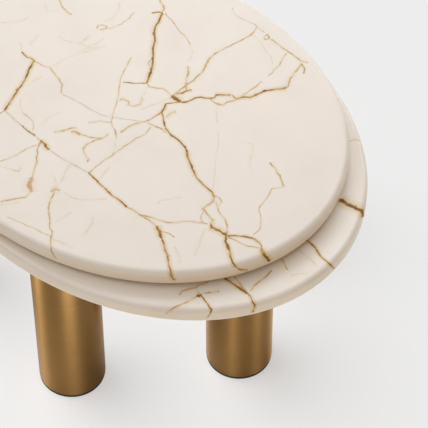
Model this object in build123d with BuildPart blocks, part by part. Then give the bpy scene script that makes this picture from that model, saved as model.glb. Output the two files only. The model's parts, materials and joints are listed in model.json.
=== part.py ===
"""Two nesting tables: thick stone ovals on round brass legs, the low table tucked under the tall one's nose.

X runs along the tall top towards its nose, Z is up, and the origin is on the floor at the middle of the pair.
"""
import os
from math import cos, hypot, radians, sin

from build123d import *

os.makedirs("parts", exist_ok=True)

# Stone tops: each starts as half an ellipse, the nose, and ends as another, the tail
stone_thickness = 30.0
edge_radius = 9.0
tall_half_width = 298.0
tall_nose = 370.0
tall_straight = 600.0
tall_tail = 370.0
low_half_width = 311.5
low_nose = 409.0
low_tail = 108.0

# Heights from the floor
low_height = 396.0
nest_gap = 5.0

# How the low table stands in the nest, measured from the middle of the tall top's nose ellipse
nest_shift_x = 13.0
nest_shift_y = 1.0
nest_turn_clockwise = 8.3

# Where the legs stand: how far along from the nose ellipse, and how far in from the edge of the stone
low_nose_leg_inset = 178.0
low_side_leg_x = 56.5
low_side_leg_inset = 93.5
tall_side_leg_x = -260.0
tall_side_leg_inset = 118.0
tall_tail_leg_inset = 172.0

# Legs
leg_diameter = 110.0
leg_wall = 2.0
leg_rim_chamfer = 0.5
plate_gap = 0.2
head_plate_thickness = 8.0
foot_plate_thickness = 6.0
glide_height = 6.0
glide_inset = 0.5
glide_chamfer = 0.6
stem_diameter = 20.0
stem_gap = 0.1

# Screws and inserts that hold each leg to its top
screw_count = 4
screw_circle = 64.0
screw_diameter = 6.0
screw_head_diameter = 10.0
screw_head_height = 6.0
hex_size = 5.0
hex_depth = 3.0
screw_hole_gap = 0.3
thread_gap = 0.05
thread_grip = 12.0
insert_diameter = 10.0
insert_length = 14.0
insert_gap = 0.05
insert_end_room = 1.0

# Steel bars let into the tall top's underside
bar_width = 25.0
bar_thickness = 6.0
bar_y = 90.0
bar_nose_margin = 145.0
bar_tail_margin = 170.0
bond_gap = 0.2

tall_height = low_height + nest_gap + stone_thickness
low_nose_leg_x = low_nose - low_nose_leg_inset
low_side_leg_y = low_half_width - low_side_leg_inset
tall_side_leg_y = tall_half_width - tall_side_leg_inset
tall_tail_leg_x = -(tall_straight + tall_tail) + tall_tail_leg_inset
tube_radius = leg_diameter / 2
bore_radius = tube_radius - leg_wall
rounding = min(edge_radius, 0.45 * stone_thickness)

# Reach of the pair from the middle of the tall top's nose ellipse
turn = radians(nest_turn_clockwise)
reach_nose = max(tall_nose, nest_shift_x + hypot(low_nose * cos(turn), low_half_width * sin(turn)))
reach_tail = tall_straight + tall_tail
reach_left = max(tall_half_width, nest_shift_y + hypot(low_tail * sin(turn), low_half_width * cos(turn)))
reach_right = max(tall_half_width, -nest_shift_y + hypot(low_nose * sin(turn), low_half_width * cos(turn)))

# Each table is drawn from the middle of its own nose ellipse
tall_x = (reach_tail - reach_nose) / 2
tall_y = (reach_right - reach_left) / 2
tall_table = Plane(origin=(tall_x, tall_y, 0))
low_table = Plane(
    origin=(tall_x + nest_shift_x, tall_y + nest_shift_y, 0),
    x_dir=(cos(turn), -sin(turn), 0),
    z_dir=(0, 0, 1),
)

tall_legs = {
    "tall_left_leg": (tall_side_leg_x, tall_side_leg_y),
    "tall_right_leg": (tall_side_leg_x, -tall_side_leg_y),
    "tall_tail_leg": (tall_tail_leg_x, 0),
}
low_legs = {
    "low_nose_leg": (low_nose_leg_x, 0),
    "low_left_leg": (low_side_leg_x, low_side_leg_y),
    "low_right_leg": (low_side_leg_x, -low_side_leg_y),
}


def keep(part, name):
    """Label a finished piece and write its file."""
    part.label = name
    export_step(part, f"parts/{name}.step")


def at(table, x, y, z):
    """A level plane at a point of a table."""
    spot = table.offset(z)
    spot.origin = table.from_local_coords(Vector(x, y, z))
    return spot


def stone_slab(table, underside, half_width, nose, straight, tail):
    """One oval slab, rounded all round its top and bottom edges."""
    with BuildPart() as slab:
        with BuildSketch(table.offset(underside)):
            with BuildLine():
                EllipticalCenterArc((0, 0), nose, half_width, -90, arc_size=180)
                if straight > 0:
                    Line((0, half_width), (-straight, half_width))
                EllipticalCenterArc((-straight, 0), tail, half_width, 90, arc_size=180)
                if straight > 0:
                    Line((-straight, -half_width), (0, -half_width))
            make_face()
        extrude(amount=stone_thickness)
        rims = slab.edges().group_by(Axis.Z)
        fillet(rims[0] + rims[-1], rounding)
    return slab.part


def drill_insert_holes(slab, table, underside, legs):
    """Blind holes in the underside, where the threaded inserts are bonded."""
    with BuildPart() as drilled:
        add(slab)
        for x, y in legs.values():
            with BuildSketch(at(table, x, y, underside)):
                with PolarLocations(screw_circle / 2, screw_count):
                    Circle(insert_diameter / 2 + insert_gap)
            extrude(amount=insert_length + insert_end_room, mode=Mode.SUBTRACT)
    return drilled.part


def leg_tube(table, x, y, underside):
    """The brass tube, from the glide up to the stone."""
    with BuildPart() as tube:
        with BuildSketch(at(table, x, y, glide_height)):
            Circle(tube_radius)
            Circle(bore_radius, mode=Mode.SUBTRACT)
        extrude(amount=underside - glide_height)
        outer_rims = tube.edges().filter_by(GeomType.CIRCLE).group_by(SortBy.RADIUS)[-1]
        chamfer(outer_rims, min(leg_rim_chamfer, 0.4 * leg_wall))
    return tube.part


def head_plate(table, x, y, underside):
    """Steel disc in the tube's top end, with the screw holes."""
    with BuildPart() as plate:
        with BuildSketch(at(table, x, y, underside - head_plate_thickness)):
            Circle(bore_radius - plate_gap)
            with PolarLocations(screw_circle / 2, screw_count):
                Circle(screw_diameter / 2 + screw_hole_gap, mode=Mode.SUBTRACT)
        extrude(amount=head_plate_thickness)
    return plate.part


def foot_plate(table, x, y):
    """Steel disc in the tube's bottom end, with the hole for the glide's stem."""
    with BuildPart() as plate:
        with BuildSketch(at(table, x, y, glide_height)):
            Circle(bore_radius - plate_gap)
            Circle(stem_diameter / 2, mode=Mode.SUBTRACT)
        extrude(amount=foot_plate_thickness)
    return plate.part


def glide(table, x, y):
    """Dark pad under the leg, with a stem that pushes into the foot plate."""
    with BuildPart() as pad:
        with BuildSketch(at(table, x, y, 0)):
            Circle(tube_radius - glide_inset)
        extrude(amount=glide_height)
        chamfer(pad.edges().group_by(Axis.Z)[0], min(glide_chamfer, 0.4 * glide_height))
        with BuildSketch(at(table, x, y, glide_height)):
            Circle(stem_diameter / 2 - stem_gap)
        extrude(amount=foot_plate_thickness)
    return pad.part


def leg_screws(table, underside, legs):
    """Hex socket screws of one table, heads against the head plates."""
    seat = underside - head_plate_thickness
    with BuildPart() as screws:
        for x, y in legs.values():
            with BuildSketch(at(table, x, y, seat - screw_head_height)):
                with PolarLocations(screw_circle / 2, screw_count):
                    Circle(screw_head_diameter / 2)
            extrude(amount=screw_head_height)
            with BuildSketch(at(table, x, y, seat)):
                with PolarLocations(screw_circle / 2, screw_count):
                    Circle(screw_diameter / 2)
            extrude(amount=head_plate_thickness + thread_grip)
            with BuildSketch(at(table, x, y, seat - screw_head_height)):
                with PolarLocations(screw_circle / 2, screw_count):
                    RegularPolygon(hex_size / 2, 6, major_radius=False)
            extrude(amount=hex_depth, mode=Mode.SUBTRACT)
    return screws.part


def stone_inserts(table, underside, legs):
    """Threaded brass inserts of one table, level with the stone."""
    with BuildPart() as inserts:
        for x, y in legs.values():
            with BuildSketch(at(table, x, y, underside)):
                with PolarLocations(screw_circle / 2, screw_count):
                    Circle(insert_diameter / 2)
                with PolarLocations(screw_circle / 2, screw_count):
                    Circle(screw_diameter / 2 + thread_gap, mode=Mode.SUBTRACT)
            extrude(amount=insert_length)
    return inserts.part


tall_underside = tall_height - stone_thickness
low_underside = low_height - stone_thickness

# The low top
low_slab = stone_slab(low_table, low_underside, low_half_width, low_nose, 0, low_tail)
keep(drill_insert_holes(low_slab, low_table, low_underside, low_legs), "low_top")

# The tall top, with the grooves that its bars are bonded into
tall_slab = stone_slab(tall_table, tall_underside, tall_half_width, tall_nose, tall_straight, tall_tail)
tall_slab = drill_insert_holes(tall_slab, tall_table, tall_underside, tall_legs)
bar_front = tall_nose - bar_nose_margin
bar_back = -(tall_straight + tall_tail) + bar_tail_margin
bar_length = bar_front - bar_back
bar_middle = (bar_front + bar_back) / 2
with BuildPart() as tall_top:
    add(tall_slab)
    with BuildSketch(at(tall_table, bar_middle, 0, tall_underside)):
        with Locations((0, bar_y), (0, -bar_y)):
            Rectangle(bar_length + 2 * bond_gap, bar_width + 2 * bond_gap)
    extrude(amount=bar_thickness + bond_gap, mode=Mode.SUBTRACT)
keep(tall_top.part, "tall_top")

# The bars, level with the tall top's underside
for side, y in (("left", bar_y), ("right", -bar_y)):
    with BuildPart() as bar:
        with BuildSketch(at(tall_table, bar_middle, y, tall_underside)):
            Rectangle(bar_length, bar_width)
        extrude(amount=bar_thickness)
    keep(bar.part, f"tall_{side}_stiffener")

# The legs, and what holds them to the tops
for table, name, underside, legs in (
    (tall_table, "tall", tall_underside, tall_legs),
    (low_table, "low", low_underside, low_legs),
):
    for leg, (x, y) in legs.items():
        keep(leg_tube(table, x, y, underside), f"{leg}_tube")
        keep(head_plate(table, x, y, underside), f"{leg}_head_plate")
        keep(foot_plate(table, x, y), f"{leg}_foot_plate")
        keep(glide(table, x, y), f"{leg}_glide")
    keep(leg_screws(table, underside, legs), f"{name}_leg_screws")
    keep(stone_inserts(table, underside, legs), f"{name}_stone_inserts")
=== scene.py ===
# %% [markdown]
# # A pair of nesting tables
# Two thick ovals of cream marble stand on round brass legs, and the low table is tucked under the tall one.
# The construction is finished and comes in as a fixed frame, so this lesson only gives it its looks.
# The frame could be copied by eye, but loading it keeps every piece at its real size and place.

# %% Load the construction
import json
import math

import bmesh
import bpy
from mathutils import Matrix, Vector


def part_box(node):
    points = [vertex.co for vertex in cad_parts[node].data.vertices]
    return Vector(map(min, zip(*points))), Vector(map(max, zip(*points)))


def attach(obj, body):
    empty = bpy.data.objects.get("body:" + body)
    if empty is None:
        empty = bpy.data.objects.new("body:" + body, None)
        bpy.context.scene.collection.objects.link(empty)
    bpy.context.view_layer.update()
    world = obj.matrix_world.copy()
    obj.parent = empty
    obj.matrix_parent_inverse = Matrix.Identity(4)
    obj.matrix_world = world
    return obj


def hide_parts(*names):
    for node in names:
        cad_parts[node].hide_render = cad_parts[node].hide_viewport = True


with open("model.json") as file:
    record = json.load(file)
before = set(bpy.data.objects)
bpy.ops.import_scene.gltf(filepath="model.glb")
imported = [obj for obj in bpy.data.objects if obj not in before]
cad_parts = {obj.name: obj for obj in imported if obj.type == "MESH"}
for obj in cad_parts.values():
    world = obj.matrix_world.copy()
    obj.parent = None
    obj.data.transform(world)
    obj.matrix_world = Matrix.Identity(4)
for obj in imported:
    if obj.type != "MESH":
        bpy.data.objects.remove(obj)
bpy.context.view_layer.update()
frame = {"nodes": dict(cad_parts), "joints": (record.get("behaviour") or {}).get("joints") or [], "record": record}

# %% [markdown]
# ## The sizes that the looks need
# Every place below comes from the frame: boxes give heights and widths, and the slide's axis gives the way
# that the low table points. What a box can't tell, such as the lengths of the rounded ends, is written out.

# %% Read sizes from the frame
TALL_NOSE = 0.370
TALL_TAIL = 0.370
LOW_NOSE = 0.409
LOW_TAIL = 0.108
LOW_HALF_WIDTH = 0.3115
LOW_NOSE_LEG_X = 0.231
EDGE_RADIUS = 0.009
TUBE_WALL = 0.002

tall_min, tall_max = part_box("tall_top")
low_min, low_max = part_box("low_top")
TALL_HALF_WIDTH = (tall_max.y - tall_min.y) / 2
TALL_LENGTH = tall_max.x - tall_min.x
TALL_STRAIGHT = TALL_LENGTH - TALL_NOSE - TALL_TAIL
TALL_LEGS = ("tall_left_leg", "tall_right_leg", "tall_tail_leg")
LOW_LEGS = ("low_nose_leg", "low_left_leg", "low_right_leg")


def middle(node):
    """The middle of a piece of the frame."""
    low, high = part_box(node)
    return (low + high) / 2


low_way = Vector(frame["joints"][0]["axis"])
tall_start = Vector((tall_max.x - TALL_NOSE, (tall_min.y + tall_max.y) / 2, 0))
low_start = middle("low_nose_leg_tube") - LOW_NOSE_LEG_X * low_way
low_start.z = 0
low_turn = math.atan2(low_way.y, low_way.x)
print("tall top", round(TALL_LENGTH, 3), "m long, low table turned", round(math.degrees(low_turn), 1))

# %% [markdown]
# ## Helpers for modelling by hand
# An operator works on whatever is selected, so each step first clears the selection and then picks what it
# needs. Picking by place or by direction is the scripted form of clicking, and it gives the same result on
# every run.


# %% Selection helpers
def clear_selection():
    """Leave edit mode and deselect everything."""
    if bpy.context.object and bpy.context.object.mode != "OBJECT":
        bpy.ops.object.mode_set(mode="OBJECT")
    bpy.ops.object.select_all(action="DESELECT")


def pick(piece, kind, test):
    """Select, in edit mode, the verts, edges or faces of a piece that pass a test."""
    modes = {"verts": "VERT", "edges": "EDGE", "faces": "FACE"}
    bpy.ops.mesh.select_all(action="DESELECT")
    bpy.ops.mesh.select_mode(type=modes[kind])
    mesh = bmesh.from_edit_mesh(piece.data)
    chosen = [part for part in getattr(mesh, kind) if test(part)]
    for part in chosen:
        part.select_set(True)
    mesh.select_flush_mode()
    bmesh.update_edit_mesh(piece.data)
    return len(chosen)


def apply_modifier(piece, kind, **settings):
    """Add one modifier to the active piece, set it and apply it."""
    modifier = piece.modifiers.new(kind.lower(), kind)
    for name, value in settings.items():
        setattr(modifier, name, value)
    bpy.ops.object.modifier_apply(modifier=modifier.name)


print("helpers ready")

# %% [markdown]
# ## The stone ovals
# On the real table each top is sawn from slab, and its edge is ground round above and below.
# A curve with a bevel could give the edge, but a circle that is stretched, extruded and bevelled keeps one
# clean ring of faces round the rim, so the light runs along the edge without a break.

# %% Model an oval slab
RIM_POINTS = 240
EDGE_STEPS = 12
FLAT_MARGIN = 0.002
SAME_HEIGHT = 1e-6


def oval_slab(name, half_width, nose, straight, tail, low_z, high_z):
    """A rounded slab that points along +X from the middle of its nose."""
    clear_selection()
    bpy.ops.mesh.primitive_circle_add(
        vertices=RIM_POINTS, radius=1, fill_type="NGON", rotation=(0, 0, math.pi / RIM_POINTS)
    )
    slab = bpy.context.object
    slab.name = name
    bpy.ops.object.transform_apply(rotation=True)
    bpy.ops.object.mode_set(mode="EDIT")
    for end, side in ((nose, 1), (tail, -1)):
        pick(slab, "verts", lambda v: v.co.x * side > 0)
        bpy.ops.transform.resize(value=(end, 1, 1), center_override=(0, 0, 0))
    bpy.ops.mesh.select_all(action="SELECT")
    bpy.ops.transform.resize(value=(1, half_width, 1), center_override=(0, 0, 0))
    pick(slab, "verts", lambda v: v.co.x < 0)
    bpy.ops.transform.translate(value=(-straight, 0, 0))
    bpy.ops.mesh.select_all(action="SELECT")
    bpy.ops.transform.translate(value=(0, 0, low_z))
    bpy.ops.mesh.extrude_region_move(TRANSFORM_OT_translate={"value": (0, 0, high_z - low_z)})
    bpy.ops.mesh.select_all(action="SELECT")
    bpy.ops.mesh.normals_make_consistent(inside=False)
    pick(slab, "edges", lambda e: abs(e.verts[0].co.z - e.verts[1].co.z) < SAME_HEIGHT)
    bpy.ops.mesh.bevel(offset=EDGE_RADIUS, segments=EDGE_STEPS, profile=0.5, affect="EDGES")
    pick(slab, "faces", lambda f: len(f.verts) > 4)
    bpy.ops.mesh.inset(thickness=FLAT_MARGIN)
    bpy.ops.object.mode_set(mode="OBJECT")
    return slab


def set_down(piece, turn, start):
    """Turn a finished piece and move it to its place, and leave the place in its mesh."""
    clear_selection()
    piece.select_set(True)
    bpy.context.view_layer.objects.active = piece
    piece.rotation_euler = (0, 0, turn)
    piece.location = start
    bpy.ops.object.transform_apply(location=True, rotation=True, scale=True)


tall_stone = oval_slab(
    "tall_stone", TALL_HALF_WIDTH, TALL_NOSE, TALL_STRAIGHT, TALL_TAIL, tall_min.z, tall_max.z
)
set_down(tall_stone, 0, tall_start)
low_stone = oval_slab("low_stone", LOW_HALF_WIDTH, LOW_NOSE, 0, LOW_TAIL, low_min.z, low_max.z)
set_down(low_stone, low_turn, low_start)
for stone in (tall_stone, low_stone):
    print(stone.name, len(stone.data.polygons), "faces")

# %% [markdown]
# ## Room under the stone
# The inserts and the steel bars are let into the underside, so the stone needs a hole for each of them.
# The holes could be drawn into the mesh, but a boolean with one cutter works as a mason's drill and saw do.

# %% Cut the underside
HOLE_DEPTH = 0.015
HOLE_GAP = 0.00005
HOLE_SIDES = 32
INSERT_RADIUS = 0.005
SCREW_CIRCLE_RADIUS = 0.032
SCREWS_EACH = 4
CUT_OVERRUN = 0.004
BOND_GAP = 0.0002
STONE_SMOOTH = math.radians(30)


def cutter_for(legs, underside, turn):
    """One mesh with a peg for each insert of a table."""
    clear_selection()
    bpy.ops.object.add(type="MESH")
    cutter = bpy.context.object
    bpy.ops.object.mode_set(mode="EDIT")
    for leg in legs:
        centre = middle(f"{leg}_tube")
        for step in range(SCREWS_EACH):
            angle = turn + step * math.tau / SCREWS_EACH
            bpy.ops.mesh.primitive_cylinder_add(
                vertices=HOLE_SIDES,
                radius=INSERT_RADIUS + HOLE_GAP,
                depth=HOLE_DEPTH + CUT_OVERRUN,
                location=(
                    centre.x + SCREW_CIRCLE_RADIUS * math.cos(angle),
                    centre.y + SCREW_CIRCLE_RADIUS * math.sin(angle),
                    underside + (HOLE_DEPTH - CUT_OVERRUN) / 2,
                ),
            )
    return cutter


def add_groove(bar):
    """Add the room for one steel bar to the cutter that is in edit mode."""
    low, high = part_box(bar)
    size = high - low + Vector((2 * BOND_GAP, 2 * BOND_GAP, BOND_GAP + CUT_OVERRUN))
    centre = (low + high) / 2 + Vector((0, 0, (BOND_GAP - CUT_OVERRUN) / 2))
    bpy.ops.mesh.primitive_cube_add(size=1, location=centre, scale=size)


def cut(stone, cutter):
    """Take the cutter's shape out of a stone and remove the cutter."""
    clear_selection()
    stone.select_set(True)
    bpy.context.view_layer.objects.active = stone
    apply_modifier(stone, "BOOLEAN", object=cutter, operation="DIFFERENCE", solver="EXACT")
    bpy.data.objects.remove(cutter)
    bpy.ops.object.shade_smooth_by_angle(angle=STONE_SMOOTH)


tall_cutter = cutter_for(TALL_LEGS, tall_min.z, 0)
for bar in ("tall_left_stiffener", "tall_right_stiffener"):
    add_groove(bar)
cut(tall_stone, tall_cutter)
cut(low_stone, cutter_for(LOW_LEGS, low_min.z, low_turn))
for stone in (tall_stone, low_stone):
    print(stone.name, "has", len(stone.data.polygons), "faces after cutting")

# %% [markdown]
# ## The brass legs
# A leg is a length of round tube, turned clean at both ends, and it is brushed round and round on a lathe.
# A plain cylinder would have no wall, so an open one gets its wall from Solidify, and the four rims are
# bevelled a little, as a file leaves them. One leg is modelled for each table and copied for the other two.

# %% Model the leg tubes
TUBE_SIDES = 160
RIM_BEVEL = 0.0006
RIM_STEPS = 2
SAME_PLACE = 1e-5
TUBE_SMOOTH = math.radians(40)


def leg_tube(leg):
    """A thin tube at the place of a leg of the frame."""
    low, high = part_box(f"{leg}_tube")
    centre = (low + high) / 2
    clear_selection()
    bpy.ops.mesh.primitive_cylinder_add(
        vertices=TUBE_SIDES,
        radius=(high.x - low.x) / 2,
        depth=high.z - low.z,
        end_fill_type="NOTHING",
        location=centre,
    )
    tube = bpy.context.object
    tube.name = f"{leg}_brass"
    bpy.ops.object.transform_apply(location=True)
    apply_modifier(tube, "SOLIDIFY", thickness=TUBE_WALL, offset=-1)

    def on_a_rim(edge):
        """Whether an edge runs round one of the four rims."""
        at_an_end = all(min(abs(v.co.z - low.z), abs(v.co.z - high.z)) < SAME_PLACE for v in edge.verts)
        first, second = [(v.co - centre).xy.length for v in edge.verts]
        return at_an_end and abs(first - second) < SAME_PLACE

    bpy.ops.object.mode_set(mode="EDIT")
    pick(tube, "edges", on_a_rim)
    bpy.ops.mesh.bevel(offset=RIM_BEVEL, segments=RIM_STEPS, profile=0.5, affect="EDGES")
    bpy.ops.object.mode_set(mode="OBJECT")
    bpy.ops.object.shade_smooth_by_angle(angle=TUBE_SMOOTH)
    return tube


def copy_leg(tube, first, leg):
    """A copy of a finished tube, with a mesh of its own, at the place of another leg."""
    copy = tube.copy()
    copy.data = tube.data.copy()
    copy.name = f"{leg}_brass"
    tube.users_collection[0].objects.link(copy)
    set_down(copy, 0, middle(f"{leg}_tube") - middle(f"{first}_tube"))
    return copy


tubes = {}
for first, *others in (TALL_LEGS, LOW_LEGS):
    tubes[first] = leg_tube(first)
    for leg in others:
        tubes[leg] = copy_leg(tubes[first], first, leg)

# %% [markdown]
# ## The camera
# The photograph was taken with a long lens, from above the nose of the tables.
# The camera stands on a line from an aim point on the floor, so its angle and distance are plain numbers.
# It comes before the stone's finish, because the veins are placed by where they are seen.

# %% Set up the camera
PICTURE_SIZE = 428
SENSOR_WIDTH = 36.0
FOCAL_PIXELS = 2500.0
VIEW_TURN = math.radians(35.558)
VIEW_DOWN = math.radians(51.98)
VIEW_DISTANCE = 4.363
AIM_FROM_NOSE = Vector((0.0373, 0.1819, 0.0))

aim = tall_start + AIM_FROM_NOSE
ahead = Vector((-math.sin(VIEW_TURN), math.cos(VIEW_TURN), 0))
sight = ahead * math.cos(VIEW_DOWN) - Vector((0, 0, math.sin(VIEW_DOWN)))
lens = bpy.data.cameras.new("studio_camera")
lens.sensor_width = SENSOR_WIDTH
lens.lens = FOCAL_PIXELS / PICTURE_SIZE * SENSOR_WIDTH
camera = bpy.data.objects.new("studio_camera", lens)
bpy.context.scene.collection.objects.link(camera)
camera.location = aim - VIEW_DISTANCE * sight
camera.rotation_euler = sight.to_track_quat("-Z", "Y").to_euler()
bpy.context.scene.camera = camera
print("camera at", [round(c, 3) for c in camera.location], "lens", round(lens.lens, 1), "mm")

# %% [markdown]
# ## Veins as drawn strokes
# A vein is a thin sheet of colour that runs down through the stone, so on the surface it is a line.
# Noise alone gives veins of the right kind in the wrong places. Here each vein is drawn as a few
# points on the picture, and a point is dropped along the line of sight onto the plane of the top.

# %% Points of the picture on a level plane
sight_turn = sight.to_track_quat("-Z", "Y").to_matrix()


def drop(pixel, level):
    """Where a point of the picture meets a level plane."""
    half = PICTURE_SIZE / 2
    ray = sight_turn @ Vector((pixel[0] - half, half - pixel[1], -FOCAL_PIXELS))
    reach = (level - camera.location.z) / ray.z
    return (camera.location + reach * ray).xy


PIXEL = (drop((215, 214), tall_max.z) - drop((214, 214), tall_max.z)).length
print("one pixel is", round(PIXEL * 1000, 2), "mm on the tall top")

# %% [markdown]
# ## The veins of the tall top
# Each vein has a tone, a width in pixels of the picture and its points.
# Gold veins are iron stain, brown ones are its dark cores, grey ones are hairlines, and faint ones are
# healed cracks.
# Points with negative numbers lie outside the picture and carry the pattern on over the tail.

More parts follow.
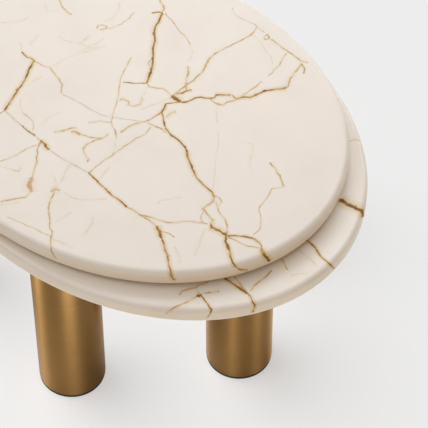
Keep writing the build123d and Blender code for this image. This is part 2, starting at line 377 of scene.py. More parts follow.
# %% Veins of the tall top
TALL_VEINS = [
    ("faint", 2.0, [(19, 42), (22, 46), (21, 52)]),
    ("brown", 1.8, [(21, 52), (27, 57), (31, 58), (34, 61)]),
    ("brown", 2.5, [(34, 61), (29, 70), (25, 80), (20, 87), (15, 94), (10, 102), (5, 110)]),
    ("gold", 1.8, [(34, 61), (41, 65), (50, 68), (55, 74), (60, 80), (62, 85), (61, 93)]),
    ("grey", 1.4, [(61, 93), (71, 98), (82, 104), (90, 109), (101, 115), (112, 117), (123, 119),
                   (145, 122)]),
    ("faint", 2.2, [(50, 68), (60, 62), (71, 56), (82, 52), (94, 50), (106, 46)]),
    ("faint", 2.0, [(29, 45), (34, 40), (39, 35)]),
    ("faint", 4.4, [(57, 36), (61, 38), (65, 40)]),
    ("faint", 2.6, [(64, 40), (72, 42), (80, 43), (90, 48)]),
    ("faint", 3.2, [(78, 45), (85, 40), (91, 35)]),
    ("faint", 2.6, [(82, 50), (90, 46), (98, 43), (104, 38)]),
    ("faint", 3.4, [(88, 49), (95, 47), (104, 48)]),
    ("gold", 1.6, [(97, 29), (98, 25), (105, 25), (108, 28), (100, 30)]),
    ("faint", 2.4, [(105, 21), (113, 18), (120, 9), (119, 2)]),
    ("faint", 2.0, [(44, 4), (48, 11), (57, 12)]),
    ("gold", 1.5, [(59, 0), (63, 7), (67, 12), (72, 15)]),
    ("gold", 1.2, [(134, 12), (130, 18), (121, 24), (109, 29)]),
    ("faint", 1.8, [(0, 23), (14, 22), (24, 20), (29, 17)]),
    ("faint", 1.8, [(27, 86), (35, 80), (43, 76)]),
    ("gold", 2.6, [(160, 0), (164, 8), (162, 13)]),
    ("brown", 1.8, [(151, 13), (157, 12), (162, 13)]),
    ("brown", 2.7, [(162, 13), (159, 22), (155, 27), (154, 33), (155, 40), (153, 48), (153, 57),
                    (152, 68), (149, 76), (147, 83)]),
    ("gold", 1.3, [(152, 58), (149, 61), (148, 65), (151, 67)]),
    ("gold", 1.2, [(165, 13), (173, 22), (179, 31), (187, 38), (190, 45)]),
    ("faint", 1.8, [(190, 45), (193, 54), (188, 62)]),
    ("brown", 1.3, [(123, 82), (131, 83), (138, 83), (147, 83)]),
    ("gold", 2.2, [(147, 83), (149, 87), (156, 88), (164, 89), (169, 93), (173, 97)]),
    ("gold", 1.2, [(131, 57), (126, 68), (120, 80), (119, 93), (116, 105), (112, 117)]),
    ("gold", 1.6, [(112, 117), (111, 123), (115, 131), (116, 138)]),
    ("faint", 2.4, [(116, 138), (115, 149), (112, 154)]),
    ("gold", 3.0, [(119, 101), (123, 99), (129, 102), (128, 105), (132, 106), (141, 104), (143, 97)]),
    ("faint", 2.2, [(143, 97), (145, 92), (147, 86)]),
    ("faint", 2.0, [(141, 110), (152, 105), (163, 101), (172, 97)]),
    ("brown", 4.6, [(171, 95), (176, 99), (181, 102)]),
    ("gold", 2.6, [(173, 95), (179, 91), (186, 85), (194, 80), (202, 72), (209, 59), (214, 55),
                   (219, 51)]),
    ("gold", 2.0, [(219, 51), (228, 47), (240, 41), (251, 35), (257, 27)]),
    ("gold", 2.4, [(186, 90), (186, 83), (188, 74), (188, 66)]),
    ("brown", 2.2, [(176, 94), (183, 93), (186, 91), (192, 90)]),
    ("brown", 2.0, [(181, 102), (187, 102), (195, 98), (201, 97), (209, 98), (214, 98)]),
    ("brown", 2.8, [(214, 98), (216, 95), (224, 95), (231, 95), (236, 99), (244, 97), (250, 97),
                    (258, 94), (264, 91), (276, 89), (287, 88)]),
    ("gold", 2.6, [(287, 88), (290, 80), (295, 72), (302, 64)]),
    ("gold", 2.3, [(210, 99), (216, 104), (223, 105), (228, 102), (236, 100)]),
    ("faint", 2.5, [(217, 104), (217, 114), (217, 123)]),
    ("gold", 1.8, [(243, 95), (249, 91), (257, 86), (262, 81)]),
    ("gold", 1.6, [(269, 76), (280, 64), (284, 56), (287, 53)]),
    ("gold", 2.1, [(271, 39), (280, 46), (291, 53), (301, 61), (309, 63)]),
    ("brown", 1.4, [(301, 63), (304, 68), (304, 74)]),
    ("grey", 1.4, [(232, 8), (235, 15), (246, 21), (255, 25), (265, 33)]),
    ("gold", 2.6, [(264, 36), (268, 34), (270, 38), (265, 39), (264, 36)]),
    ("faint", 2.2, [(254, 35), (260, 42), (265, 50), (271, 57), (273, 64)]),
    ("brown", 2.2, [(181, 102), (172, 103), (166, 104), (164, 109), (162, 112), (163, 117), (165, 127),
                    (171, 135), (180, 142), (186, 149)]),
    ("brown", 2.6, [(186, 149), (188, 157), (191, 165), (196, 177)]),
    ("brown", 2.0, [(196, 177), (203, 184), (212, 193), (214, 198)]),
    ("gold", 3.4, [(214, 198), (213, 202), (207, 206), (203, 209), (206, 212), (210, 217), (213, 220),
                   (210, 224)]),
    ("gold", 1.4, [(205, 210), (201, 216), (202, 222), (208, 224)]),
    ("brown", 3.6, [(210, 224), (212, 228), (219, 231), (227, 236)]),
    ("brown", 2.7, [(226, 236), (225, 241), (229, 250), (230, 256), (233, 264), (237, 268)]),
    ("brown", 1.8, [(237, 268), (242, 270), (248, 270)]),
    ("brown", 2.2, [(227, 236), (236, 236), (247, 237), (254, 239), (260, 243), (262, 248)]),
    ("gold", 1.6, [(228, 237), (238, 242), (247, 246), (260, 248)]),
    ("brown", 3.8, [(261, 248), (264, 255), (270, 262)]),
    ("gold", 2.0, [(270, 162), (276, 170), (280, 176), (284, 187)]),
    ("gold", 1.3, [(284, 187), (271, 189), (269, 195), (259, 208), (261, 218), (260, 229), (253, 235)]),
    ("gold", 1.8, [(214, 196), (219, 198), (222, 202), (219, 206)]),
    ("gold", 2.0, [(216, 201), (219, 212), (225, 219), (227, 225), (227, 236)]),
    ("faint", 1.6, [(218, 130), (219, 145), (216, 155), (215, 170), (213, 190)]),
    ("faint", 3.0, [(243, 143), (253, 144), (252, 152), (250, 160), (251, 172)]),
    ("gold", 2.4, [(162, 112), (154, 117), (145, 122), (134, 124), (126, 128), (120, 133)]),
    ("gold", 1.5, [(151, 127), (145, 134), (131, 142), (115, 153), (102, 162), (89, 173)]),
    ("gold", 2.2, [(148, 123), (154, 126), (162, 129), (166, 133)]),
    ("gold", 3.2, [(166, 118), (171, 113), (176, 111)]),
    ("grey", 1.7, [(5, 110), (12, 117), (22, 126), (31, 133), (40, 140)]),
    ("brown", 1.2, [(22, 126), (28, 131), (35, 136)]),
    ("brown", 3.0, [(40, 140), (44, 144), (49, 150)]),
    ("grey", 1.8, [(49, 150), (55, 154), (68, 162), (78, 167), (89, 173)]),
    ("brown", 1.7, [(89, 173), (95, 179), (104, 188)]),
    ("brown", 2.2, [(104, 188), (112, 195), (120, 201), (127, 207)]),
    ("gold", 2.2, [(127, 207), (138, 213), (149, 220), (157, 227)]),
    ("brown", 3.4, [(157, 226), (160, 233), (162, 239)]),
    ("brown", 2.4, [(162, 239), (165, 249), (168, 258), (170, 269), (171, 275), (174, 281)]),
    ("gold", 1.8, [(138, 213), (157, 220), (171, 223), (188, 221), (208, 224)]),
    ("gold", 1.4, [(160, 231), (168, 233), (175, 238)]),
    ("gold", 2.4, [(54, 132), (64, 130), (71, 128), (77, 128)]),
    ("gold", 3.8, [(71, 131), (77, 133), (82, 135)]),
    ("gold", 2.2, [(82, 135), (95, 138), (104, 138), (109, 134)]),
    ("gold", 2.2, [(104, 138), (94, 141), (87, 144), (83, 149), (85, 154), (88, 159), (87, 162)]),
    ("gold", 1.4, [(88, 123), (100, 121), (111, 122)]),
    ("faint", 2.2, [(21, 98), (20, 105), (23, 113)]),
    ("gold", 1.3, [(23, 113), (29, 117), (33, 121), (33, 131)]),
    ("faint", 1.8, [(41, 125), (47, 119), (55, 114), (62, 112)]),
    ("gold", 1.8, [(40, 142), (37, 151), (37, 161), (34, 171), (32, 178)]),
    ("gold", 6.0, [(32, 177), (29, 184), (31, 193)]),
    ("gold", 2.0, [(31, 192), (25, 197), (14, 199), (0, 202)]),
    ("faint", 2.2, [(0, 205), (10, 204), (20, 202)]),
    ("faint", 2.8, [(71, 164), (66, 171), (62, 180), (57, 188)]),
    ("faint", 2.2, [(52, 170), (55, 180), (57, 188)]),
    ("gold", 4.6, [(51, 192), (55, 189), (60, 190)]),
    ("gold", 2.0, [(56, 190), (51, 198), (50, 202), (49, 207), (49, 217), (50, 221), (49, 227), (52, 231),
                   (51, 236), (51, 245), (51, 252), (55, 259)]),
    ("gold", 1.2, [(0, 162), (14, 156), (27, 149), (37, 145)]),
    ("faint", 2.2, [(0, 165), (8, 168), (13, 170)]),
    ("gold", 1.8, [(12, 170), (19, 171), (22, 167)]),
    ("faint", 2.6, [(62, 192), (72, 197), (81, 200), (95, 200), (107, 199)]),
    ("faint", 2.6, [(57, 222), (64, 217), (72, 212)]),
    ("faint", 2.6, [(82, 237), (88, 230), (93, 222), (93, 217)]),
    ("faint", 2.2, [(110, 166), (105, 172), (99, 179)]),
    ("faint", 2.4, [(157, 204), (162, 200), (172, 199), (183, 197)]),
    ("gold", 1.0, [(7, 217), (21, 223), (32, 227), (42, 233), (49, 236)]),
    ("faint", 3.0, [(49, 236), (55, 240), (65, 244), (74, 248)]),
    ("faint", 2.8, [(205, 228), (202, 238), (199, 246)]),
    ("faint", 2.6, [(199, 246), (195, 256)]),
    ("faint", 2.4, [(175, 247), (179, 255), (181, 263)]),
]
TAIL_VEINS = [
    ("gold", 1.7, [(5, 110), (-6, 118), (-20, 126), (-38, 140), (-52, 142), (-66, 158)]),
    ("brown", 2.0, [(-8, 33), (-20, 18), (-31, 12), (-48, -8), (-70, -19), (-96, -24)]),
    ("gold", 1.6, [(59, 0), (50, -14), (44, -30), (30, -41), (22, -60), (2, -72), (-14, -96),
                   (-20, -120)]),
    ("gold", 1.5, [(160, 0), (152, -14), (140, -22), (133, -40), (118, -52), (100, -60)]),
    ("brown", 1.8, [(-96, -24), (-110, -10), (-131, -2), (-150, 16), (-161, 34), (-182, 46), (-190, 66)]),
    ("gold", 1.3, [(-48, -8), (-44, 12), (-55, 30), (-52, 52), (-66, 70), (-64, 88)]),
    ("grey", 1.1, [(-20, 126), (-52, 112), (-80, 90), (-104, 84), (-140, 60), (-161, 34)]),
    ("gold", 1.7, [(2, -72), (-24, -80), (-50, -96), (-80, -98), (-112, -118), (-150, -124),
                   (-176, -150)]),
    ("brown", 2.0, [(-112, -118), (-120, -96), (-137, -84), (-142, -60), (-158, -46), (-150, -24),
                    (-160, -6), (-150, 16)]),
    ("faint", 1.4, [(-182, 46), (-210, 30), (-240, 18), (-262, -4), (-290, -10)]),
    ("gold", 1.4, [(-158, -46), (-185, -52), (-212, -70), (-238, -72), (-262, -92), (-300, -100)]),
    ("brown", 1.7, [(-238, -72), (-246, -50), (-268, -34), (-272, -12), (-300, 6)]),
    ("faint", 1.4, [(100, -60), (70, -70), (48, -88), (30, -112)]),
    ("grey", 1.1, [(-96, -24), (-90, -52), (-100, -76), (-80, -98)]),
    ("gold", 1.3, [(-212, -70), (-206, -96), (-220, -120), (-214, -146)]),
]
print(len(TALL_VEINS), "veins in the picture,", len(TAIL_VEINS), "beyond it")

# %% [markdown]
# ## The veins of the low top
# Most of the low top lies in the shade of the tall one, and shows when it is pulled out.
# So its visible veins are drawn from the picture, and go on inwards.

# %% Veins of the low top
LOW_VEINS = [
    ("gold", 2.4, [(178, 295), (182, 291), (189, 289), (196, 288), (199, 285), (208, 282)]),
    ("gold", 2.4, [(165, 315), (173, 308), (187, 302), (196, 297), (200, 295)]),
    ("brown", 1.6, [(200, 295), (206, 302), (211, 309), (210, 314), (207, 318)]),
    ("brown", 4.4, [(197, 296), (202, 294)]),
    ("gold", 2.2, [(203, 293), (212, 293), (220, 291)]),
    ("brown", 2.6, [(224, 278), (233, 284), (240, 288), (247, 294)]),
    ("gold", 2.4, [(234, 277), (240, 283), (244, 290), (247, 294)]),
    ("brown", 2.0, [(244, 291), (250, 296), (252, 299), (255, 305), (253, 313)]),
    ("brown", 6.0, [(339, 199), (347, 204), (356, 208), (362, 211), (364, 217)]),
    ("grey", 3.6, [(339, 199), (347, 204), (356, 208), (362, 211), (364, 217)]),
    ("brown", 2.0, [(308, 241), (314, 246), (320, 255), (328, 263), (335, 269)]),
    ("gold", 2.4, [(271, 270), (266, 277), (257, 284), (250, 291)]),
    ("faint", 3.4, [(299, 250), (306, 255), (318, 267)]),
    ("gold", 2.0, [(281, 259), (285, 265), (287, 270)]),
    ("faint", 2.6, [(290, 276), (299, 274), (308, 274)]),
    ("gold", 1.6, [(349, 141), (355, 140), (360, 141)]),
    ("brown", 2.4, [(339, 199), (322, 188), (301, 184), (283, 170), (262, 166), (240, 150), (222, 148),
                    (200, 128), (176, 120), (160, 102)]),
    ("brown", 1.8, [(308, 241), (296, 226), (278, 215), (270, 199), (250, 190), (236, 172), (214, 164),
                    (196, 146)]),
    ("gold", 1.5, [(208, 282), (218, 268), (214, 252), (226, 238), (224, 220), (240, 204), (250, 190)]),
    ("gold", 1.4, [(224, 278), (210, 262), (190, 256), (176, 240), (150, 232), (131, 216), (104, 208),
                   (84, 190)]),
    ("brown", 1.8, [(84, 190), (92, 170), (110, 160), (116, 140), (134, 130), (140, 108), (160, 102)]),
    ("gold", 1.3, [(240, 150), (246, 128), (262, 112), (264, 92), (282, 76), (286, 58)]),
    ("grey", 1.1, [(176, 240), (170, 214), (180, 190), (172, 166), (196, 146)]),
    ("faint", 1.4, [(84, 190), (62, 186), (44, 200), (20, 204), (0, 218)]),
    ("gold", 1.3, [(160, 102), (178, 86), (184, 66), (204, 52), (210, 34)]),
    ("gold", 1.2, [(349, 141), (330, 138), (312, 124), (290, 122), (262, 112)]),
]
print(len(LOW_VEINS), "veins on the low top")

# %% [markdown]
# ## How one vein is drawn in nodes
# A stroke is measured along the straight line between its ends. One curve node says how far the vein strays
# from that line, a second says how wide it is, and the rest is the distance to it, counted in half widths.
# A painted picture would be simpler, but a drawn line stays sharp at any distance.

# %% Node helpers
END_WIDTH = 1e-5
LEAST_FORWARD = 0.4
NO_VEIN = 50.0


def node(tree, kind, inputs=(), **settings):
    """Add a node, set it, and fill or link its inputs in order."""
    made = tree.nodes.new(kind)
    for name, value in settings.items():
        setattr(made, name, value)
    for socket, value in inputs:
        if isinstance(value, bpy.types.NodeSocket):
            tree.links.new(value, made.inputs[socket])
        else:
            made.inputs[socket].default_value = value
    return made


def math_node(tree, operation, *values):
    """One sum of a few values."""
    return node(tree, "ShaderNodeMath", enumerate(values), operation=operation).outputs[0]


def vector_node(tree, operation, first, second):
    """One sum of two vectors, or of a vector and a number to scale it by."""
    socket = "Scale" if operation == "SCALE" else 1
    made = node(tree, "ShaderNodeVectorMath", ((0, first), (socket, second)), operation=operation)
    return made.outputs[0]


def set_curve(made, points):
    """Give a curve node straight runs between points."""
    made.mapping.extend = "HORIZONTAL"
    curve = made.mapping.curves[0]
    for extra in points[2:]:
        curve.points.new(*extra)
    for handle, place in zip(curve.points, sorted(points)):
        handle.location = place
        handle.handle_type = "VECTOR"
    made.mapping.update()


def forward_runs(points):
    """Split a vein into runs that never turn back along their own straight line."""
    runs = []
    run = points[:2]
    for point in points[2:]:
        longer = run + [point]
        chord = (longer[-1] - longer[0]).normalized()
        if all((b - a).normalized().dot(chord) > LEAST_FORWARD for a, b in zip(longer, longer[1:])):
            run = longer
        else:
            runs.append(run)
            run = [run[-1], point]
    return runs + [run]


print("node helpers ready")

# %% [markdown]
# ## One stroke
# A vein that turns back on itself can't be measured along one straight line, so it is split into runs.
# Each run gives a distance, and the least of them is the distance to the vein.
# Its width falls to almost nothing at both ends, so a stroke stops there instead of running on.

# %% One stroke
MOST_LEAD = 0.2


def reach_along(tree, place, way, start):
    """How far a place lies along a direction."""
    level_way = (way.x, way.y, 0)
    reach = node(tree, "ShaderNodeVectorMath", ((0, place), (1, level_way)), operation="DOT_PRODUCT")
    return math_node(tree, "SUBTRACT", reach.outputs["Value"], start.dot(way))


def stroke(tree, place, run, half_width, nearest):
    """Distance to one run of a vein in half widths, or the nearest so far where that is less."""
    length = (run[-1] - run[0]).length
    along = (run[-1] - run[0]) / length ** 2
    across = Vector((-along.y, along.x))
    stray = [((p - run[0]).dot(along), 0.5 + (p - run[0]).dot(across)) for p in run]
    width = half_width / length
    lead = min(0.5 * width, MOST_LEAD)
    widths = [(0, END_WIDTH), (lead, width), (1 - lead, width), (1, END_WIDTH)]
    here = reach_along(tree, place, along, run[0])
    path = node(tree, "ShaderNodeFloatCurve", (("Value", here),))
    set_curve(path, stray)
    breadth = node(tree, "ShaderNodeFloatCurve", (("Value", here),))
    set_curve(breadth, widths)
    side = reach_along(tree, place, across, run[0] - 0.5 * length ** 2 * across)
    off = math_node(tree, "ABSOLUTE", math_node(tree, "SUBTRACT", side, path.outputs[0]))
    return math_node(tree, "MINIMUM", math_node(tree, "DIVIDE", off, breadth.outputs[0]), nearest)


def nearest_vein(tree, place, veins, tone, level):
    """Distance to the nearest vein of one tone, in its half widths."""
    nearest = NO_VEIN
    for kind, width, pixels in veins:
        if kind == tone:
            points = [drop(pixel, level) for pixel in pixels]
            for run in forward_runs(points):
                nearest = stroke(tree, place, run, width * PIXEL / 2, nearest)
    return nearest


print("strokes ready")

# %% [markdown]
# ## Blending and noise
# Every finish here blends colours by some noise, so the nodes for that are wrapped once as small helpers.
# They could be placed by hand in the shader editor, but then each finish would repeat them.


# %% Finish helpers
def mix(tree, amount, first, second, blend="MIX"):
    """Blend two colours."""
    made = node(tree, "ShaderNodeMix", data_type="RGBA", blend_type=blend)
    for socket, value in (("Factor_Float", amount), ("A_Color", first), ("B_Color", second)):
        target = next(s for s in made.inputs if s.identifier == socket)
        if isinstance(value, bpy.types.NodeSocket):
            tree.links.new(value, target)
        else:
            target.default_value = value
    return next(s for s in made.outputs if s.identifier == "Result_Color")


def ramp(tree, value, step, to_low=0.0, to_high=1.0):
    """A soft step from one value to another."""
    span = (("From Min", step[0]), ("From Max", step[1]), ("To Min", to_low), ("To Max", to_high))
    inputs = (("Value", value),) + span
    return node(tree, "ShaderNodeMapRange", inputs, interpolation_type="SMOOTHSTEP").outputs[0]


def noise(tree, place, scale, detail=4.0, roughness=0.5, output="Fac"):
    """Noise at a place."""
    inputs = (("Vector", place), ("Scale", scale), ("Detail", detail), ("Roughness", roughness))
    return node(tree, "ShaderNodeTexNoise", inputs).outputs[output]


def new_material(name):
    """An empty material, its tree and its main shader."""
    material = bpy.data.materials.new(name)
    material.use_nodes = True
    tree = material.node_tree
    return material, tree, tree.nodes["Principled BSDF"]


def add_bump(tree, shader, height, strength, distance):
    """Let a height stand out a little from the surface."""
    inputs = (("Strength", strength), ("Distance", distance), ("Height", height))
    bump = node(tree, "ShaderNodeBump", inputs)
    tree.links.new(bump.outputs[0], shader.inputs["Normal"])


def dress(mesh, finish):
    """Give a mesh one finish."""
    mesh.materials.clear()
    mesh.materials.append(finish)


print("finish helpers ready")

# %% [markdown]
# ## The stain of the veins
# A vein is stain in the stone: it takes away blue first, then green, and red last, as tea does in water.
# So a tone is a depth of stain, with the shares of it that red and blue take, and where veins cross their
# depths add up. Each vein is a beaded core with a wide soft halo, and noise makes it fade and come back.

# %% Stain
# Depth of the stain, then its share in red and in blue
TONES = {
    "faint": (0.12, 0.56, 1.95),
    "grey": (0.36, 0.85, 1.25),
    "gold": (0.60, 0.54, 2.05),
    "brown": (1.72, 0.57, 2.30),
}
CORE_STEP = (1.15, 0.2)
HALO_STEP = (4.0, 0.6)
HALO_SHARE = 0.12
PATCH_SCALE = 55.0
PATCH_STEP = (0.34, 0.64)
PATCH_RANGE = (0.35, 1.25)
BEAD_SCALE = 120.0
BEAD_STEP = (0.32, 0.68)
BEAD_RANGE = (1.35, 0.72)


def stain(tree, far, strength, beads, patchy):
    """How deep the colour of a vein is at a distance from it."""
    core = ramp(tree, math_node(tree, "MULTIPLY", far, beads), CORE_STEP)
    core = math_node(tree, "MULTIPLY", core, patchy)
    halo = math_node(tree, "MULTIPLY", ramp(tree, far, HALO_STEP), HALO_SHARE)
    return math_node(tree, "MULTIPLY", math_node(tree, "ADD", core, halo), strength)


def all_stains(tree, flat, bent, veins, level):
    """How deep all veins together stain red, green and blue."""
    patchy = ramp(tree, noise(tree, flat, PATCH_SCALE, detail=3.0), PATCH_STEP, *PATCH_RANGE)
    beads = ramp(tree, noise(tree, flat, BEAD_SCALE, detail=2.0), BEAD_STEP, *BEAD_RANGE)
    red, green, blue = 0.0, 0.0, 0.0
    for tone, (strength, red_share, blue_share) in TONES.items():
        deep = stain(tree, nearest_vein(tree, bent, veins, tone, level), strength, beads, patchy)
        red = math_node(tree, "MULTIPLY_ADD", deep, red_share, red)
        green = math_node(tree, "ADD", deep, green)
        blue = math_node(tree, "MULTIPLY_ADD", deep, blue_share, blue)
    return red, green, blue


print("tones:", ", ".join(TONES))

# %% [markdown]
# ## The marble
# The stone is a warm cream with soft clouds. The low slab is painted a little paler than the tall one,
# as painted light for the shade of the tall top. On both, the edge and underside are painted warmer and
# darker than the polished face, as painted shade.
# A vein leans as it goes down through the slab, so the place that is looked up slides with the depth below
# the top. A little noise bends that place too, because a real vein is never as smooth as a drawn one.

# %% Marble material
TALL_CREAM = (0.852, 0.778, 0.712, 1)
# Painted light: the low slab's cream is paler than the tall one's, to make up for the shade of the tall top.
LOW_CREAM_PAINTED_LIGHT = (0.888, 0.818, 0.755, 1)
CLOUD = (0.765, 0.665, 0.565, 1)
CLOUD_SCALE = 9.0
CLOUD_STEP = (0.42, 0.78)
CLOUD_SHARE = 0.35
# Painted shade: the stone is darkened and warmed from the rim of the top down over the edge and underside.
EDGE_SHADE_TINT = (0.98, 0.93, 0.835, 1)
EDGE_SHADE_STEP = (0.0015, 0.011)
WARP_SCALE = 70.0
WARP_REACH = 0.0054
NOISE_STEP = (0.3, 0.7)
STONE_ROUGHNESS = (0.29, 0.37)
ROUGHNESS_SCALE = 40.0
VEIN_ROUGHNESS = 0.08
POLISH_SCALE = 12.0
POLISH_DEPTH = 0.001


def vein_sheet(tree, place, depth):
    """Where a place lies on the level plane that the veins are drawn on, and that place bent by noise."""
    lean = ahead / math.tan(VIEW_DOWN)
    sheet = vector_node(tree, "SUBTRACT", place, vector_node(tree, "SCALE", lean, depth))
    flat = vector_node(tree, "MULTIPLY", sheet, (1, 1, 0))
    bend = noise(tree, flat, WARP_SCALE, detail=2.0, output="Color")
    bend = vector_node(tree, "SUBTRACT", bend, (0.5, 0.5, 0.5))
    return flat, vector_node(tree, "ADD", flat, vector_node(tree, "SCALE", bend, WARP_REACH))


def marble(name, ground, veins, level):
    """Marble of one ground colour with the given veins, drawn for a top at a level."""
    material, tree, shader = new_material(name)
    place = node(tree, "ShaderNodeTexCoord").outputs["Object"]
    height = node(tree, "ShaderNodeSeparateXYZ", ((0, place),)).outputs["Z"]
    depth = math_node(tree, "SUBTRACT", level, height)
    flat, bent = vein_sheet(tree, place, depth)
    clouds = ramp(tree, noise(tree, flat, CLOUD_SCALE, detail=6.0), CLOUD_STEP, 0.0, CLOUD_SHARE)
    cream = mix(tree, clouds, ground, CLOUD)
    # Painted shade: the stone turns warmer and darker below the rim of the top.
    cream = mix(tree, ramp(tree, depth, EDGE_SHADE_STEP), cream, EDGE_SHADE_TINT, "MULTIPLY")
    stains = all_stains(tree, flat, bent, veins, level)
    clear = [math_node(tree, "POWER", 1 / math.e, deep) for deep in stains]
    left = node(tree, "ShaderNodeCombineColor", enumerate(clear)).outputs[0]
    tree.links.new(mix(tree, 1.0, cream, left, "MULTIPLY"), shader.inputs["Base Color"])
    rough = ramp(tree, noise(tree, flat, ROUGHNESS_SCALE), NOISE_STEP, *STONE_ROUGHNESS)
    rough = math_node(tree, "MULTIPLY_ADD", stains[1], VEIN_ROUGHNESS, rough)
    tree.links.new(rough, shader.inputs["Roughness"])
    add_bump(tree, shader, noise(tree, place, POLISH_SCALE, detail=1.0), 0.1, POLISH_DEPTH)
    return material


tall_marble = marble("tall_marble", TALL_CREAM, TALL_VEINS + TAIL_VEINS, tall_max.z)
low_marble = marble("low_marble", LOW_CREAM_PAINTED_LIGHT, LOW_VEINS, low_max.z)
for stone, finish in ((tall_stone, tall_marble), (low_stone, low_marble)):
    dress(stone.data, finish)
    print(finish.name, len(finish.node_tree.nodes), "nodes")

# %% [markdown]
# ## The brass
# The legs are antique brass, darkened and then brushed round the tube, so the light draws upright bands on
# them and fine level lines can be seen from near by. The lines are noise that changes fast with height, and
# anisotropy stretches the shine the way brushing does.

# %% Brass material
BRASS_LIGHT = (0.212, 0.120, 0.042, 1)
BRASS_DARK = (0.180, 0.100, 0.034, 1)
BRASS_EDGE = (0.87, 0.73, 0.58, 1)
BRASS_ROUGHNESS = (0.25, 0.27)
BRUSH_SCALE = (4.0, 4.0, 900.0)
BRUSH_STRENGTH = 0.02
BRUSH_DEPTH = 0.0001
ANISOTROPY = 0.75
QUARTER_TURN = 0.25


def brushed_brass():
    """Antique brass, brushed round the leg."""
    material, tree, shader = new_material("brushed_brass")
    place = node(tree, "ShaderNodeTexCoord").outputs["Object"]
    stretched = node(tree, "ShaderNodeMapping", (("Vector", place), ("Scale", BRUSH_SCALE))).outputs[0]
    lines = noise(tree, stretched, 1.0, detail=3.0, roughness=0.7)
    colour = mix(tree, ramp(tree, lines, NOISE_STEP), BRASS_DARK, BRASS_LIGHT)
    tree.links.new(colour, shader.inputs["Base Color"])
    tree.links.new(ramp(tree, lines, NOISE_STEP, *BRASS_ROUGHNESS), shader.inputs["Roughness"])
    add_bump(tree, shader, lines, BRUSH_STRENGTH, BRUSH_DEPTH)
    shader.inputs["Metallic"].default_value = 1.0
    shader.inputs["Specular Tint"].default_value = BRASS_EDGE
    shader.inputs["Anisotropic"].default_value = ANISOTROPY
    shader.inputs["Anisotropic Rotation"].default_value = QUARTER_TURN
    round_leg = node(tree, "ShaderNodeTangent", direction_type="RADIAL", axis="Z")
    tree.links.new(round_leg.outputs[0], shader.inputs["Tangent"])
    return material


brass = brushed_brass()
for tube in tubes.values():
    dress(tube.data, brass)
print("brass on", len(tubes), "legs")

# %% [markdown]
# ## Plates, screws, inserts and glides
# These are small and mostly hidden, and their shapes in the frame are right, so each keeps its solid and
# only gets a finish: black paint with a slight orange peel, zinc, turned brass and matt rubber.

# %% Finishes of the small pieces
ROUGHNESS_SPREAD = 0.05
MOTTLE_DEPTH = 0.0002


def plain_finish(name, light, dark, scale, roughness, metallic):
    """A finish with a soft mottle in its colour, shine and surface."""
    material, tree, shader = new_material(name)
    place = node(tree, "ShaderNodeTexCoord").outputs["Object"]
    mottle = noise(tree, place, scale, detail=3.0)
    tree.links.new(mix(tree, ramp(tree, mottle, NOISE_STEP), dark, light), shader.inputs["Base Color"])
    rough = ramp(tree, mottle, NOISE_STEP, roughness - ROUGHNESS_SPREAD, roughness + ROUGHNESS_SPREAD)
    tree.links.new(rough, shader.inputs["Roughness"])
    add_bump(tree, shader, mottle, 0.1, MOTTLE_DEPTH)
    shader.inputs["Metallic"].default_value = metallic
    return material


# Name, light and dark colour, scale of the mottle, roughness, and 1 for bare metal
SMALL_FINISHES = {
    "plate_steel": plain_finish(
        "black_paint", (0.040, 0.040, 0.042, 1), (0.026, 0.026, 0.028, 1), 900.0, 0.45, 0.0
    ),
    "screw_steel": plain_finish(
        "zinc_plate", (0.560, 0.560, 0.580, 1), (0.440, 0.440, 0.460, 1), 600.0, 0.35, 1.0
    ),
    "insert_brass": plain_finish(
        "turned_brass", (0.720, 0.530, 0.250, 1), (0.600, 0.430, 0.190, 1), 500.0, 0.35, 1.0
    ),
    "glide_rubber": plain_finish(
        "matt_rubber", (0.030, 0.030, 0.030, 1), (0.018, 0.018, 0.018, 1), 700.0, 0.75, 0.0
    ),
}
for subpart in frame["record"]["subparts"]:
    finish = SMALL_FINISHES.get(subpart["material_slot"])
    if finish:
        dress(frame["nodes"][subpart["node"]].data, finish)
print("finishes:", ", ".join(SMALL_FINISHES))

# %% [markdown]
# ## The floor
# The tables stand on a pale seamless floor. The camera sees it as an even light grey with part of the
# shadow left in, as a catalogue picture has it, and the brass sees a share of that grey too.
# More lamps would whiten the floor as well, but they would burn out the stone.

# %% Floor
FLOOR_SIZE = 12.0
FLOOR_GREY = 0.842
PAPER_GREY = 0.42
GLOW_SEEN = 0.66
GLOW_IN_SHINE = 0.25
PAPER_ROUGHNESS = 0.9

clear_selection()
bpy.ops.mesh.primitive_plane_add(size=FLOOR_SIZE)
floor = bpy.context.object
floor.name = "studio_floor"
paper, paper_tree, paper_shader = new_material("studio_paper")
paper_shader.inputs["Base Color"].default_value = (PAPER_GREY, PAPER_GREY, PAPER_GREY, 1)
paper_shader.inputs["Roughness"].default_value = PAPER_ROUGHNESS
paper_shader.inputs["Specular IOR Level"].default_value = 0.0
glow = node(paper_tree, "ShaderNodeEmission", (("Color", (FLOOR_GREY, FLOOR_GREY, FLOOR_GREY, 1)),))
ray = node(paper_tree, "ShaderNodeLightPath")
seen = math_node(paper_tree, "MAXIMUM", ray.outputs["Is Camera Ray"], ray.outputs["Is Transmission Ray"])
seen = math_node(paper_tree, "MULTIPLY", seen, GLOW_SEEN)
shine = math_node(paper_tree, "MULTIPLY", ray.outputs["Is Glossy Ray"], GLOW_IN_SHINE)
share = math_node(paper_tree, "MAXIMUM", seen, shine)
layers = ((0, share), (1, paper_shader.outputs[0]), (2, glow.outputs[0]))
both = node(paper_tree, "ShaderNodeMixShader", layers)
paper_tree.links.new(both.outputs[0], paper_tree.nodes["Material Output"].inputs["Surface"])
dress(floor.data, paper)
print("floor", FLOOR_SIZE, "m wide")

# %% [markdown]
# ## Which lamp lights what
# A catalogue picture is lit in layers: the floor has a light of its own, and so has the metal.
# Light linking does that in one scene. A collection lists what a lamp may light, or what may shade it.


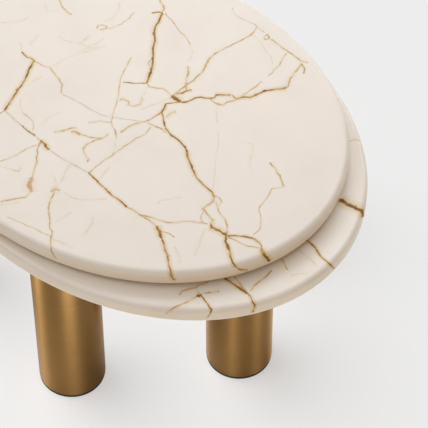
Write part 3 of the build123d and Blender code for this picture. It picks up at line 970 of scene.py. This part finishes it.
# %% Light groups
def light_group(name, members, state="INCLUDE"):
    """A collection for light linking, of pieces that are lit or left out."""
    group = bpy.data.collections.new(name)
    for member in members:
        group.objects.link(member)
    for row in group.collection_objects:
        row.light_linking.link_state = state
    return group


floor_group = light_group("floor_alone", [floor])
tables_group = light_group("all_but_the_floor", [floor], "EXCLUDE")
legs_group = light_group("legs_alone", tubes.values())
print("light groups:", floor_group.name, tables_group.name, legs_group.name)

# %% [markdown]
# ## The light
# Soft boxes stand round the tables: the strong ones above and behind, warm ones low in front for the
# stone's edge. A lamp could be placed by coordinates, but a turn from the camera and a height, both in
# degrees, make the set read like a studio plan.

# %% Soft boxes
WARM = (1.0, 0.84, 0.60)
PLAIN = (1.0, 1.0, 1.0)
LIT_SPOT = tall_start + Vector((0.08, 0, 0.2))
# Turn and height in degrees, distance and size in metres, power in watts, colour
SOFT_BOXES = {
    "overhead": (0, 90, 3.2, 2.4, 18.0, PLAIN),
    "front_low": (0, 20, 3.0, 2.2, 11.0, WARM),
    "front_right_low": (30, 20, 3.0, 2.2, 8.0, WARM),
    "front_left_low": (330, 20, 3.0, 2.2, 3.5, WARM),
    "right_low": (90, 20, 3.0, 2.2, 6.0, WARM),
    "right_back_low": (150, 20, 3.0, 2.2, 26.0, PLAIN),
    "front_left_high": (315, 50, 3.2, 1.4, 7.0, PLAIN),
    "front_right_high": (45, 50, 3.2, 1.4, 4.0, WARM),
    "right_back_high": (135, 50, 3.2, 1.4, 15.0, PLAIN),
    "back_high": (180, 50, 3.2, 1.4, 19.0, PLAIN),
    "left_back_high": (225, 50, 3.2, 1.4, 16.5, PLAIN),
    "left_high": (270, 50, 3.2, 1.4, 14.5, PLAIN),
}


def from_camera(turn, height, distance):
    """A step away from the tables, turned from the camera's side and raised, in degrees."""
    turn = math.radians(turn)
    height = math.radians(height)
    level = math.sin(turn) * Vector((ahead.y, -ahead.x, 0)) - math.cos(turn) * ahead
    return distance * (math.cos(height) * level + Vector((0, 0, math.sin(height))))


def hang_box(name, turn, height, distance, size, power, colour):
    """A square lamp that faces the tables."""
    light = bpy.data.lights.new(name, "AREA")
    light.shape = "SQUARE"
    light.size = size
    light.energy = power
    light.color = colour
    lamp = bpy.data.objects.new(name, light)
    bpy.context.scene.collection.objects.link(lamp)
    step = from_camera(turn, height, distance)
    lamp.location = LIT_SPOT + step
    lamp.rotation_euler = (-step).to_track_quat("-Z", "Y").to_euler()
    lamp.visible_camera = False
    return lamp.light_linking


for name, settings in SOFT_BOXES.items():
    hang_box(name, *settings).receiver_collection = tables_group
world = bpy.data.worlds.new("studio")
bpy.context.scene.world = world
world.use_nodes = True
world.node_tree.nodes["Background"].inputs["Strength"].default_value = 0.0
bpy.context.scene.view_settings.view_transform = "Standard"
print("soft boxes:", ", ".join(SOFT_BOXES))

# %% [markdown]
# ## Streaks on the brass
# A tube that is brushed round shows every lamp as one upright streak, so the streaks in the picture tell
# where its lamps stood. Wide suns stand for them here, because a sun gives a leg the same streak from top to
# bottom. The nose leg has a set of its own: its neighbour hides some lamps from it, as black card does.

# %% Leg lights
# Turn from the camera, height and width in degrees, then strength
LEG_LIGHTS = {
    "left_streak": (283, 10, 12, 22.0),
    "front_streak": (9, 10, 32, 21.0),
}
NOSE_LEG_LIGHTS = {
    "nose_left_streak": (257, 10, 12, 12.0),
    "nose_front_streak": (-18, 10, 11, 14.5),
    "nose_right_streak": (50, 10, 22, 15.5),
    "nose_rim_streak": (105, 10, 14, 10.5),
}


def hang_sun(name, turn, height, width, strength):
    """A wide sun, turned from the camera's side and raised."""
    light = bpy.data.lights.new(name, "SUN")
    light.angle = math.radians(width)
    light.energy = strength
    sun = bpy.data.objects.new(name, light)
    bpy.context.scene.collection.objects.link(sun)
    sun.rotation_euler = (-from_camera(turn, height, 1)).to_track_quat("-Z", "Y").to_euler()
    return sun.light_linking


nose_tube = tubes["low_nose_leg"]
nose_group = light_group("nose_leg_alone", [nose_tube])
others_group = light_group("other_legs", [tube for tube in tubes.values() if tube != nose_tube])
for lights, group in ((LEG_LIGHTS, others_group), (NOSE_LEG_LIGHTS, nose_group)):
    for name, settings in lights.items():
        hang_sun(name, *settings).receiver_collection = group
    print(group.name, "lit by", ", ".join(lights))

# %% [markdown]
# ## The shade on the floor
# In the picture the floor is almost white, and only the legs leave a soft shade to their right.
# A wide sun from the left gives that shade, with the legs alone in its way.

# %% Floor light
SUN_TURN = 244
SUN_HEIGHT = 64
SUN_WIDTH = 46

full_white = math.pi / math.sin(math.radians(SUN_HEIGHT))
floor_sun = hang_sun("floor_sun", SUN_TURN, SUN_HEIGHT, SUN_WIDTH, FLOOR_GREY / PAPER_GREY * full_white)
floor_sun.receiver_collection = floor_group
floor_sun.blocker_collection = legs_group
print("floor sun at", SUN_HEIGHT, "degrees")

# %% [markdown]
# ## Put it together
# Each new piece rides on its table and takes the place of the solid that it was modelled on.

# %% Ride and replace
for stone, node_name, body in ((tall_stone, "tall_top", "tall_table"), (low_stone, "low_top", "low_table")):
    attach(stone, body)
    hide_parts(node_name)
for leg, tube in tubes.items():
    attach(tube, leg.split("_")[0] + "_table")
    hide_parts(f"{leg}_tube")
